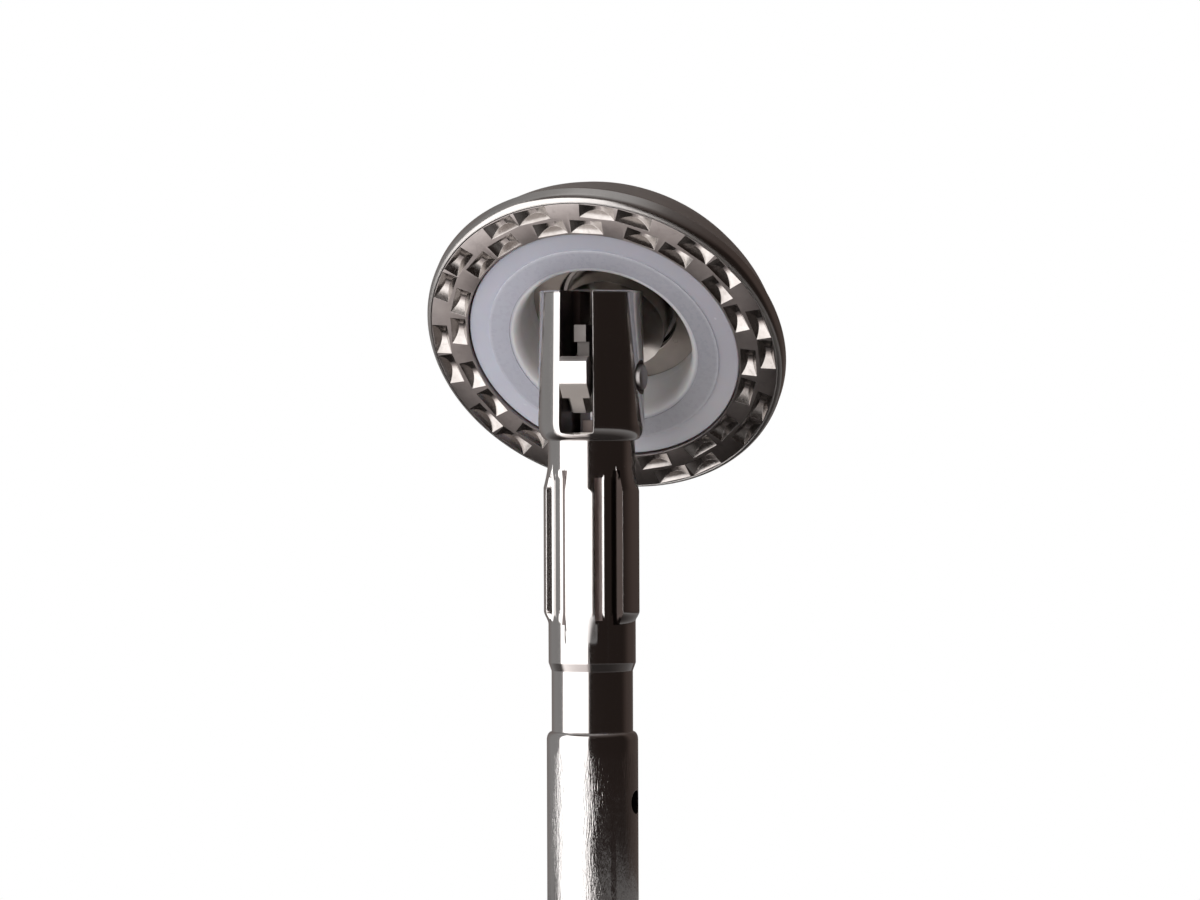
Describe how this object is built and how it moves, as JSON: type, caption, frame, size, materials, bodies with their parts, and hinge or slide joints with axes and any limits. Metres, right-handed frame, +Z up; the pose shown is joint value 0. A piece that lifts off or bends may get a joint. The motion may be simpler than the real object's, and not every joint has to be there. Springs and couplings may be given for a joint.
{
  "type": "circular surgical stapler anvil assembly",
  "caption": "Tilt-top anvil of a circular stapler: domed head with staple pockets and cutting ring, hinged in the slot of a splined centre rod.",
  "frame": {"origin": "centre of the centre rod's lower mouth", "axes": "+Z up the centre rod, X along the pivot pin, the face of the tilted head looks towards -Y"},
  "size_m": [0.025, 0.0179, 0.0579],
  "materials": {
    "rod_steel": "polished with fine length-wise brushing",
    "pin_steel": "polished",
    "head_steel": "turned satin dome, polished rim",
    "pocket_steel": "satin with coined pockets",
    "post_steel": "machined",
    "plate_steel": "pressed sheet",
    "spring_steel": "drawn wire",
    "ring_plastic": "milky white, slightly waxy",
    "cover_film": "clear film"
  },
  "bodies": {
    "root": {"center_rod": "rod_steel", "pivot_pin": "pin_steel", "plunger_spring": "spring_steel"},
    "plunger": {"plunger": "post_steel"},
    "latch": {"cam_latch": "post_steel"},
    "head": {"pivot_post": "post_steel", "anvil_head": "head_steel", "pocket_ring": "pocket_steel", "spacer_washer": "pin_steel", "retainer_clip": "spring_steel"},
    "cutter": {"backup_plate": "plate_steel", "cutting_ring": "ring_plastic", "ring_cover": "cover_film"}
  },
  "joints": [
    {"name": "head_tilt", "type": "hinge", "parent": "root", "child": "head", "pos_m": [0, 0, 0.04466], "axis": [-1, 0, 0], "range_deg": [-52, 18]},
    {"name": "plunger_slide", "type": "slide", "parent": "root", "child": "plunger", "axis": [0, 0, 1], "range_m": [-0.0008, 0.00028], "deforming": ["plunger_spring"]},
    {"name": "latch_turn", "type": "hinge", "parent": "root", "child": "latch", "pos_m": [0, 0, 0.04466], "axis": [-1, 0, 0], "range_deg": [-7.9, 2.8]},
    {"name": "cutter_slide", "type": "slide", "parent": "head", "child": "cutter", "axis": [0, 0.788, 0.6157], "range_m": [0, 0.0009]}
  ],
  "couplings": [
    {"joint": "plunger_slide", "follows": "head_tilt", "m_per_rad": 0.00086},
    {"joint": "latch_turn", "follows": "head_tilt", "ratio": 0.15}
  ]
}
